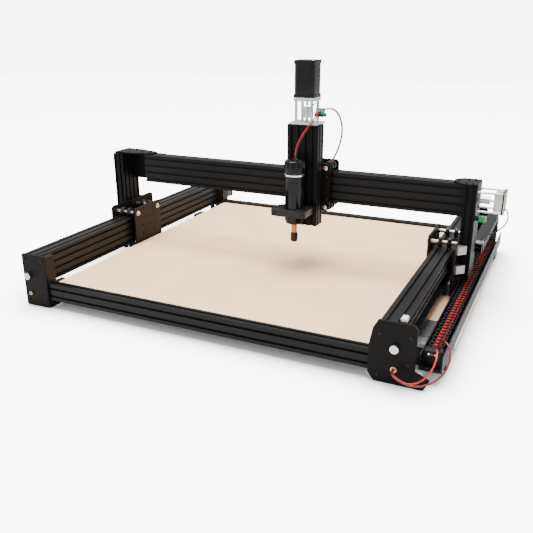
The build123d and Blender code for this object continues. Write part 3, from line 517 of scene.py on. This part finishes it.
carriage_axles = Shape()
for side, x in X_WHEEL_PLACES.items():
    for z in X_WHEEL_HEIGHTS.values():
        carriage_axles.turned(at(x, 470, z), BACK, [(-1, 2.5), (78, 2.5)], steel, 24)
        for low, high in ((6, 21.7), (32.3, 41.7), (52.3, 68)):
            span = high - low
            carriage_axles.turned(at(x, 470 + low, z), BACK, [
                (0, 4.7), (0.3, 5), (span - 0.3, 5), (span, 4.7)], aluminium, 28)
        carriage_axles.turned(at(x, 470, z), FORWARD, [(0, 6.9), (0.7, 6.9), (0.9, 6.5)], steel, 36)
        carriage_axles.cap_head(at(x, 469.2, z), FORWARD, 4.6, 1.8, gold)
        carriage_axles.turned(at(x, 544, z), BACK, [(-0.2, 4.6, 6), (3.8, 4.6, 6)], steel, 36)
    for z in (311, 249):
        aside = 5 if side == "right" else -5
        carriage_axles.socket_head(at(x + aside, 470, z), FORWARD, 3.2, 2.2, oxide)
carriage_axles.piece("carriage_axles", "x_carriage", ["x_axles"])

# screw heads of the gantry: corner plates, brackets and beam ends
gantry_screws = Shape()
for spots in (((-540, 492), (-540, 536), (-512, 492), (-512, 536), (-446, 508), (-446, 520), (-476, 514)),
              ((542, 482), (542, 532), (526, 486), (526, 530), (503, 508), (503, 520))):
    for x, y in spots:
        gantry_screws.socket_head(at(x, y, 327), UP, 3.4, 2.2, oxide)
for x in (-510, -470, -430):
    for z in (262, 302):
        gantry_screws.socket_head(at(x, 533, z), BACK, 3.4, 2.2, oxide)
for z in (105, 157):
    gantry_screws.socket_head(at(536, 466, z), FORWARD, 3.2, 2.2, oxide)
    gantry_screws.socket_head(at(-536, 554, z), BACK, 3.2, 2.2, oxide)
gantry_screws.piece("gantry_screw_heads", "gantry")

# connector block on the right upright, below the X motor's posts
socket = Shape()
socket.span((562, 496, 226), (580, 512, 240), green, 0.0008)
socket.span((556.2, 498, 228), (562.4, 510, 238), plastic, 0.0006)
for y in (500, 504, 508):
    socket.turned(at(571, y, 239.6), UP, [(0, 1.8), (0.8, 1.8), (0.9, 1.4)], steel, 16)
socket.piece("gantry_terminal", "gantry")

# ---------------- spindle ----------------
housing = Shape()
housing.turned(at(SPINDLE_X, SPINDLE_Y, 197), UP, [
    (0, 7.6), (0, 22.6), (0.9, 23.5), (6.4, 23.5), (7.2, 25.2), (8, 26), (38, 26), (38.4, 25.6), (39.2, 25.6),
    (39.6, 26), (112, 26), (112.4, 25.5), (113.4, 25.5), (113.8, 26), (128.6, 26), (129, 25.4)], glossy, 72)
housing.turned(at(SPINDLE_X, SPINDLE_Y, 326), UP, [
    (0, 26.6), (0.6, 27.5), (4.2, 27.5), (5, 26.6)], chrome, 72)
housing.turned(at(SPINDLE_X, SPINDLE_Y, 331), UP, [
    (0, 26.4), (0.5, 27.4), (1.4, 28), (12, 28), (12.4, 27.4), (13.4, 27.4), (13.8, 28), (30.5, 28),
    (33.6, 26.8), (35, 24.8), (35.2, 22), (37.4, 21.2), (38, 19.5), (38, 9), (36.6, 8.6), (36.6, 3)],
    glossy, 72)
for angle in range(0, 360, 30):
    turn = Matrix.Rotation(math.radians(angle), 4, "Z")
    spot = at(SPINDLE_X, SPINDLE_Y, 353) + turn @ Vector((0.0279, 0, 0))
    housing.block(spot, (0.0008, 0.0034, 0.012), oxide, 0.0002, turn)
for offset in (-2.2, 2.2):
    housing.turned(at(SPINDLE_X - 2 + offset, 401, 366), UP, [(0, 1.9), (3.2, 1.9), (3.4, 1.5)], brass, 20)
housing.piece("spindle_housing", "z_axis", ["spindle_body"])

clamp_piece = Shape()
outline = [at(SPINDLE_X + dx, y, 219) for dx, y in (
    (-55, 360), (-52, 356.5), (-38, 355.6), (30, 355.6), (40, 356.5), (43, 360), (43, 427),
    (-36, 427), (-55, 403))]
clamp_piece.prism(outline, (0, 0, 0.018), oxide, 0.0009)
clamp_piece.turned(at(SPINDLE_X, SPINDLE_Y, 218.7), UP, [
    (0, 26.1), (0, 30), (0.6, 30.6), (18.2, 30.6), (18.8, 30), (18.8, 26.1)], motor_black, 64)
for x in (54, 132):
    clamp_piece.cap_head(at(x, 356.2, 228), FORWARD, 4.2, 3.6, oxide)
    clamp_piece.socket_head(at(x, 399, 237), UP, 4.2, 2.4, oxide)
clamp_piece.piece("spindle_holder", "z_axis", ["spindle_clamp"])

tool = Shape()
tool.turned(at(SPINDLE_X, SPINDLE_Y, 165), UP, [(0, 7.0), (1, 7.5), (30, 7.5), (66, 7.5)], shaft_bronze, 48)
tool.turned(at(SPINDLE_X, SPINDLE_Y, 143), UP, [
    (3, 3.0), (0, 3.2), (0, 6.6), (1.2, 8.0), (4, 9.4), (4.4, 9.7), (15, 9.7), (15.3, 10.5, 6), (24, 10.5, 6),
    (25.4, 9.2), (25.4, 7.4)], bronze, 48)
tool.piece("spindle_nose", "spindle", ["spindle_shaft"])

# ---------------- cable chain and tray ----------------
def link(shape, centre, along, index, wide=0.032, tall=0.024, pitch=0.016, closed=False):
    """One link: two side plates that lap the next link's, and a bar above and below."""
    along = Vector(along).normalized()
    up = Vector((1, 0, 0)).cross(along)
    turn = Matrix((Vector((1, 0, 0)), along, up)).transposed().to_4x4()
    inset = 0.0012 if index % 2 else 0.0030
    for sign in (-1, 1):
        shape.block(centre + Vector((sign * (wide / 2 - inset), 0, 0)), (0.0018, pitch * 1.22, tall * 0.86),
                    plastic, 0.0006, turn)
        bar = pitch * 0.96 if closed else 0.0048
        shape.block(centre + up * (sign * (tall / 2 - 0.0011)), (wide - 0.005, bar, 0.0020),
                    plastic, 0.0005, turn)


def link_row(shape, count, first, z, closed=False):
    """Links evenly spaced from first to just short of the bend."""
    for index in range(count):
        y = first + index * (CHAIN_BEND - first - 8) / (count - 1)
        link(shape, at(CHAIN_X, y, z), BACK, index, closed=closed)


# the lower run, with open bars over its leads
LEAD_PLACES = ((-6.4, red), (-2.2, red), (2.1, dark_lead), (6.3, red))
run = Shape()
link_row(run, 51, 74, CHAIN_LOW)
for offset, look in LEAD_PLACES:
    height = CHAIN_LOW + (4 if offset > 0 else 2)
    run.turned(at(CHAIN_X + offset, CHAIN_START, height), BACK,
               [(818 * step / 20, 2.0) for step in range(21)], look, 12)
lower = run.piece("chain_run_lower", None, ["chain_lower"])
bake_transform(lower)

# the upper run, closed
run = Shape()
link_row(run, 20, CHAIN_ANCHOR + 7, CHAIN_HIGH, closed=True)
# its leads are drawn all black, though the same leads run red and black in the lower run: painted shade
# inside the closed links
for offset, look in LEAD_PLACES:
    run.turned(at(CHAIN_X + offset, CHAIN_ANCHOR + 1, CHAIN_HIGH), BACK,
               [(316 * step / 8, 1.7) for step in range(9)], dark_lead, 12)
upper = run.piece("chain_run_upper", None, ["chain_upper"])
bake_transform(upper)

# the bend
run = Shape()
count = 8
for index in range(count):
    angle = math.pi * (index + 0.5) / count - math.pi / 2
    spot = at(CHAIN_X, CHAIN_BEND + BEND_RADIUS * math.cos(angle),
              CHAIN_LOW + BEND_RADIUS + BEND_RADIUS * math.sin(angle))
    link(run, spot, (0, -math.sin(angle), math.cos(angle)), index, closed=True)
run.piece("chain_turn", "chain_loop", ["chain_bend"])

tray = Shape()
section = [(533, 30), (581, 30), (581, 40), (580.4, 40.6), (580.4, 42), (581, 42.6), (581, 52), (580.4, 52.6),
           (580.4, 54), (581, 54.6), (581, 66), (578, 66), (578, 33), (536, 33), (536, 66), (533, 66)]
tray.prism([at(x, 30, z) for x, z in section], (0, 0.944, 0), plastic, 0.0005)
tray.span((538, 46, 33), (576, 68, 70), plastic, 0.0045)
for x, look in ((549, ivory), (556, red), (563, ivory)):
    tray.turned(at(x, 47, 62), FORWARD, [(0, 2.4), (3, 2.4), (3.4, 2.0)], look, 20)
tray.piece("chain_tray", "frame", ["cable_tray"])

# ---------------- leads ----------------
inner_route = [(489, 5, 33), (489, -13, 33), (503, -25, 29), (527, -27, 22), (551, -19, 31),
               (567, -5, 52), (571, 17, 71), (566, 41, 80), (560, 64, 65)]
outer_route = [(487, 5, 37), (487, -18, 37), (502, -35, 34), (529, -39, 27), (557, -33, 29),
               (582, -19, 42), (597, -3, 64), (598, 14, 88), (586, 31, 103), (570, 48, 97), (565, 64, 70)]
lead("front_lead", [inner_route, outer_route], 0.0018, [red, maroon], "frame", "front_leads")
motor_route = [(624, 528, 258), (632, 530, 240), (626, 538, 216), (610, 550, 195), (592, 563, 180),
               (575, 577, 168), (562, 592, 148)]
lead("motor_lead", [motor_route], 0.0018, [dark_lead], "gantry", "x_motor_lead")
spindle_routes = [[(98 + dx, 401, 369.4), (98 + dx, 400, 388), (106 + dx, 403, 415), (122 + dx, 409, 443),
                   (141 + dx, 418, 472), (152 + dx, 431, 492)] for dx in (-2.2, 2.2)]
lead("spindle_lead", spindle_routes, 0.0014, [red, dark_lead], "z_axis", "spindle_leads")
loop_routes = [[(154, 434 + dy, 492), (173, 444 + dy, 499), (192, 451 + dy, 487), (202, 455 + dy, 462),
                (203, 458 + dy, 434), (198, 460 + dy, 406), (188, 462 + dy, 381), (177, 462 + dy, 357)]
               for dy in (0, 3.4)]
loops = lead("lift_lead", loop_routes, 0.0019, [maroon, dark_lead], None)

# the loop's strands become one mesh; it runs from the Z axis to the X carriage but is tied to neither
joined = Shape()
for strand in loops:
    baked = bpy.data.meshes.new_from_object(strand)
    before = len(joined.mesh.faces)
    joined.mesh.from_mesh(baked)
    joined.mesh.faces.ensure_lookup_table()
    joined.paint(joined.mesh.faces[before:], strand.data.materials[0])
    bpy.data.objects.remove(strand)
flex = joined.piece("lift_leads", None, ["carriage_leads"])
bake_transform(flex)

# terminal block behind the Z motor's standoffs, where the leads meet
terminal = Shape()
terminal.span((139, 430, 484), (160, 444, 497), green, 0.0008)
for step in range(3):
    terminal.turned(at(143.5 + step * 6, 430, 491), FORWARD, [(0, 2), (0.8, 2), (0.9, 1.6)], steel, 16)
terminal.span((136, 427, 476), (163, 447, 484), plastic, 0.0008)
terminal.piece("lead_terminal", "z_axis")
lead("terminal_lead", [[(142, 430, 487), (132, 424, 486), (126, 424, 494), (132, 430, 508), (146, 436, 513)]],
     0.0011, [teal], "z_axis")


# ---------------- stage ----------------
def studio_light(name, place, target, size, power):
    lamp = bpy.data.objects.new(name, bpy.data.lights.new(name, "AREA"))
    bpy.context.scene.collection.objects.link(lamp)
    lamp.data.shape = "RECTANGLE"
    lamp.data.size, lamp.data.size_y = size
    lamp.data.energy = power
    lamp.location = place
    lamp.rotation_euler = (Vector(target) - Vector(place)).to_track_quat("-Z", "Y").to_euler()


world = bpy.data.worlds.new("studio")
bpy.context.scene.world = world
world.use_nodes = True
sky = world.node_tree
sky.nodes["Background"].inputs["Color"].default_value = (1, 1, 1, 1)
seen_ray = sky.nodes.new("ShaderNodeLightPath")
glow = sky.nodes.new("ShaderNodeMapRange")
glow.inputs["To Min"].default_value = 0.85
glow.inputs["To Max"].default_value = BRIGHT_BACKDROP
sky.links.new(seen_ray.outputs["Is Camera Ray"], glow.inputs["Value"])
sky.links.new(glow.outputs["Result"], sky.nodes["Background"].inputs["Strength"])
studio_light("overhead", (0.0, 0.2, 2.6), (0, 0, 0), (2.4, 2.0), 230)
studio_light("front_fill", (-1.4, -2.4, 1.5), (0, 0, 0.1), (1.6, 1.2), 12)
studio_light("right_rim", (2.6, 0.4, 1.4), (0.3, 0, 0.1), (1.4, 1.2), 20)

bpy.ops.mesh.primitive_plane_add(size=14, location=(0, 0, cad_box[0][2]))
floor = bpy.context.object
floor.name = "floor"
backdrop = material("floor_glow_painted_shadow", (0.86, 0.86, 0.86), 0.75, 0, (1, 1, 1), 4, 0.01, 0, 0.0004, 0.02)
# The floor glows for the camera only, and ambient occlusion dims that glow near the machine: a painted shadow
# on the floor, not one cast by the lamps.
paint = backdrop.node_tree
nearness = paint.nodes.new("ShaderNodeAmbientOcclusion")
nearness.inputs["Distance"].default_value = 0.30
nearness.samples = 8
painted_floor_shadow = paint.nodes.new("ShaderNodeMapRange")
painted_floor_shadow.inputs["From Min"].default_value = 0.5
painted_floor_shadow.inputs["To Min"].default_value = 0.1
painted_floor_shadow.inputs["To Max"].default_value = BRIGHT_BACKDROP
paint.links.new(nearness.outputs["AO"], painted_floor_shadow.inputs["Value"])
seen_ray = paint.nodes.new("ShaderNodeLightPath")
shown = paint.nodes.new("ShaderNodeMath")
shown.operation = "MULTIPLY"
paint.links.new(painted_floor_shadow.outputs["Result"], shown.inputs[0])
paint.links.new(seen_ray.outputs["Is Camera Ray"], shown.inputs[1])
paint.nodes["Principled BSDF"].inputs["Emission Color"].default_value = (1, 1, 1, 1)
paint.links.new(shown.outputs["Value"], paint.nodes["Principled BSDF"].inputs["Emission Strength"])
floor.data.materials.append(backdrop)
